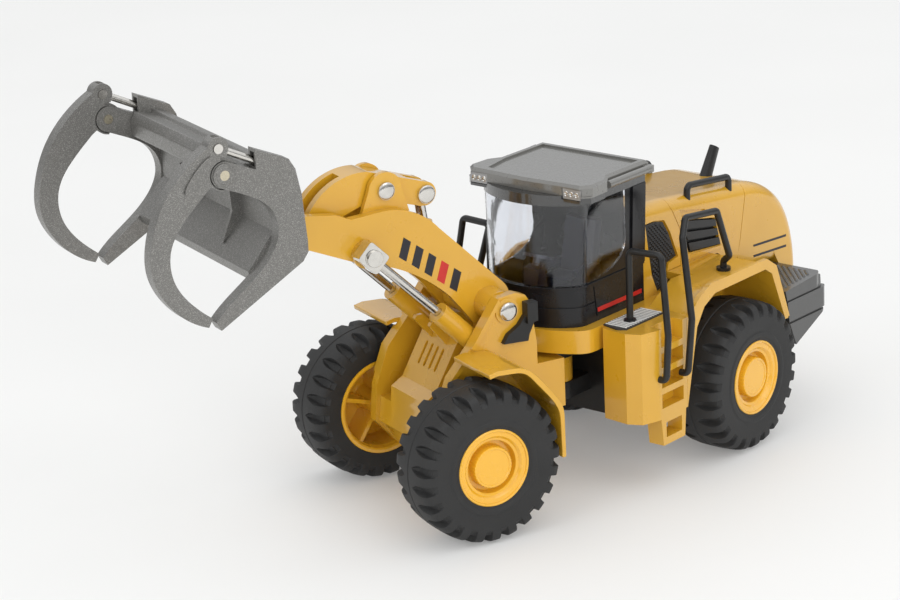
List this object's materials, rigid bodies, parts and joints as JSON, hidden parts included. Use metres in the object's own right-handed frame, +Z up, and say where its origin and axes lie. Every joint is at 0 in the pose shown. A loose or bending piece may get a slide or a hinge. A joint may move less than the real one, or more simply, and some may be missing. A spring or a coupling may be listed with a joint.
{
  "type": "toy wheel loader",
  "caption": "Die-cast toy wheel loader with articulated steering, raised boom and closed log grapple.",
  "frame": {"origin": "on the ground under the middle of the bounding box", "axes": "+X forward along the rear half, +Y to its left, +Z up"},
  "size_m": [0.2104, 0.106, 0.1091],
  "materials": {
    "yellow_paint": "gloss",
    "grapple_paint": "satin",
    "tyre_rubber": "matte",
    "black_plastic": "satin",
    "cab_plastic": "gloss",
    "clear_plastic": "clear",
    "tread_print": "satin",
    "plated_steel": "polished"
  },
  "bodies": {
    "rear_frame": {"rear_chassis": "black_plastic", "articulation_pin": "plated_steel", "chassis_screws": "plated_steel", "deck_body": "yellow_paint", "deck_treads": "tread_print", "rear_fender_left": "yellow_paint", "rear_fender_right": "yellow_paint", "hood_front": "yellow_paint", "hood_main": "yellow_paint", "hood_rear": "yellow_paint", "side_grilles": "black_plastic", "louvre_panels": "black_plastic", "hood_rails": "black_plastic", "exhaust_pipe": "black_plastic", "counterweight": "black_plastic", "cab_base": "cab_plastic", "cab_pillars": "cab_plastic", "windshield": "clear_plastic", "cab_roof": "cab_plastic", "roof_lamps": "clear_plastic", "seat": "black_plastic", "steering_console": "black_plastic", "handrail_left": "black_plastic", "handrail_right": "black_plastic"},
    "rear_wheelset": {"rear_axle": "plated_steel", "rear_rim_left": "yellow_paint", "rear_rim_right": "yellow_paint", "rear_tyre_left": "tyre_rubber", "rear_tyre_right": "tyre_rubber"},
    "front_body": {"front_frame": "yellow_paint", "boom_pivot_pin": "plated_steel", "lift_foot_pins": "plated_steel", "front_fender_left": "yellow_paint", "front_fender_right": "yellow_paint", "tower_brackets": "black_plastic"},
    "front_wheelset": {"front_axle": "plated_steel", "front_rim_left": "yellow_paint", "front_rim_right": "yellow_paint", "front_tyre_left": "tyre_rubber", "front_tyre_right": "tyre_rubber"},
    "lift_arm": {"boom": "yellow_paint", "boom_pins": "plated_steel"},
    "tilt_rocker": {"rocker": "yellow_paint", "rocker_end_pins": "plated_steel"},
    "tilt_push_link": {"tilt_link": "yellow_paint"},
    "tilt_cylinder_barrel": {"tilt_barrel": "yellow_paint"},
    "tilt_cylinder_rod": {"tilt_rod": "plated_steel"},
    "lift_cylinder_barrel_left": {"lift_barrel_left": "yellow_paint"},
    "lift_cylinder_barrel_right": {"lift_barrel_right": "yellow_paint"},
    "lift_cylinder_rod_left": {"lift_rod_left": "plated_steel"},
    "lift_cylinder_rod_right": {"lift_rod_right": "plated_steel"},
    "grapple": {"grapple_side_left": "grapple_paint", "grapple_side_right": "grapple_paint", "grapple_beam": "grapple_paint", "grapple_back_plate": "grapple_paint", "claw_pins": "plated_steel"},
    "left_claw": {"claw_left": "grapple_paint"},
    "right_claw": {"claw_right": "grapple_paint"},
    "left_claw_rod": {"claw_rod_left": "plated_steel"},
    "right_claw_rod": {"claw_rod_right": "plated_steel"}
  },
  "joints": [
    {"name": "steering", "type": "hinge", "parent": "rear_frame", "child": "front_body", "pos_m": [-0.01803, 0.01893, 0.027], "axis": [0, 0, 1], "range_deg": [-7, 48]},
    {"name": "rear_wheels_spin", "type": "hinge", "parent": "rear_frame", "child": "rear_wheelset", "pos_m": [-0.05633, 0.01893, 0.019], "axis": [0, 1, 0], "continuous": true},
    {"name": "front_wheels_spin", "type": "hinge", "parent": "front_body", "child": "front_wheelset", "pos_m": [0.01708, 0.00577, 0.019], "axis": [0.351, 0.9364, 0], "continuous": true},
    {"name": "boom_lift", "type": "hinge", "parent": "front_body", "child": "lift_arm", "pos_m": [0.00304, 0.01103, 0.05], "axis": [-0.351, -0.9364, 0], "range_deg": [-45, 12]},
    {"name": "grapple_tilt", "type": "hinge", "parent": "lift_arm", "child": "grapple", "pos_m": [0.05688, -0.00915, 0.0755], "axis": [-0.351, -0.9364, 0], "range_deg": [-25, 25]},
    {"name": "rocker_pivot", "type": "hinge", "parent": "lift_arm", "child": "tilt_rocker", "pos_m": [0.02645, 0.00226, 0.0815], "axis": [-0.351, -0.9364, 0], "range_deg": [-7, 7]},
    {"name": "tilt_link_pivot", "type": "hinge", "parent": "tilt_rocker", "child": "tilt_push_link", "pos_m": [0.04377, -0.00424, 0.073], "axis": [-0.351, -0.9364, 0], "range_deg": [-19.04, 19.04]},
    {"name": "tilt_cylinder_pivot", "type": "hinge", "parent": "lift_arm", "child": "tilt_cylinder_barrel", "pos_m": [0.01287, 0.00735, 0.058], "axis": [-0.351, -0.9364, 0], "range_deg": [-2.03, 2.03]},
    {"name": "tilt_cylinder_stroke", "type": "slide", "parent": "tilt_cylinder_barrel", "child": "tilt_cylinder_rod", "axis": [0.1369, -0.0513, 0.9893], "range_m": [-0.00143, 0.00143]},
    {"name": "lift_cylinder_pivot_left", "type": "hinge", "parent": "front_body", "child": "lift_cylinder_barrel_left", "pos_m": [0.0083, 0.02081, 0.0375], "axis": [-0.351, -0.9364, 0], "range_deg": [-40.06, 11.05]},
    {"name": "lift_cylinder_stroke_left", "type": "slide", "parent": "lift_cylinder_barrel_left", "child": "lift_cylinder_rod_left", "axis": [0.6674, -0.2502, 0.7014], "range_m": [-0.00915, 0.00259]},
    {"name": "lift_cylinder_pivot_right", "type": "hinge", "parent": "front_body", "child": "lift_cylinder_barrel_right", "pos_m": [0.00058, 0.0002, 0.0375], "axis": [-0.351, -0.9364, 0], "range_deg": [-40.06, 11.05]},
    {"name": "lift_cylinder_stroke_right", "type": "slide", "parent": "lift_cylinder_barrel_right", "child": "lift_cylinder_rod_right", "axis": [0.6674, -0.2502, 0.7014], "range_m": [-0.00915, 0.00259]},
    {"name": "claw_left_pivot", "type": "hinge", "parent": "grapple", "child": "left_claw", "pos_m": [0.08718, 0.01185, 0.1005], "axis": [-0.351, -0.9364, 0], "range_deg": [0, 50]},
    {"name": "claw_rod_left_pivot", "type": "hinge", "parent": "left_claw", "child": "left_claw_rod", "pos_m": [0.08811, 0.0115, 0.1066], "axis": [-0.351, -0.9364, 0], "range_deg": [-45.9, 0.5]},
    {"name": "claw_right_pivot", "type": "hinge", "parent": "grapple", "child": "right_claw", "pos_m": [0.06591, -0.04489, 0.1005], "axis": [-0.351, -0.9364, 0], "range_deg": [0, 50]},
    {"name": "claw_rod_right_pivot", "type": "hinge", "parent": "right_claw", "child": "right_claw_rod", "pos_m": [0.06684, -0.04525, 0.1066], "axis": [-0.351, -0.9364, 0], "range_deg": [-45.9, 0.5]}
  ],
  "couplings": [
    {"joint": "rocker_pivot", "follows": "grapple_tilt", "ratio": -0.2599},
    {"joint": "tilt_link_pivot", "follows": "grapple_tilt", "ratio": 0.7417},
    {"joint": "tilt_cylinder_pivot", "follows": "grapple_tilt", "ratio": 0.0612},
    {"joint": "tilt_cylinder_stroke", "follows": "grapple_tilt", "m_per_rad": 0.002825},
    {"joint": "lift_cylinder_pivot_left", "follows": "boom_lift", "ratio": 0.8791},
    {"joint": "lift_cylinder_stroke_left", "follows": "boom_lift", "m_per_rad": 0.01139},
    {"joint": "lift_cylinder_pivot_right", "follows": "boom_lift", "ratio": 0.8791},
    {"joint": "lift_cylinder_stroke_right", "follows": "boom_lift", "m_per_rad": 0.01139},
    {"joint": "claw_rod_left_pivot", "follows": "claw_left_pivot", "ratio": -0.908},
    {"joint": "claw_rod_right_pivot", "follows": "claw_right_pivot", "ratio": -0.908}
  ]
}
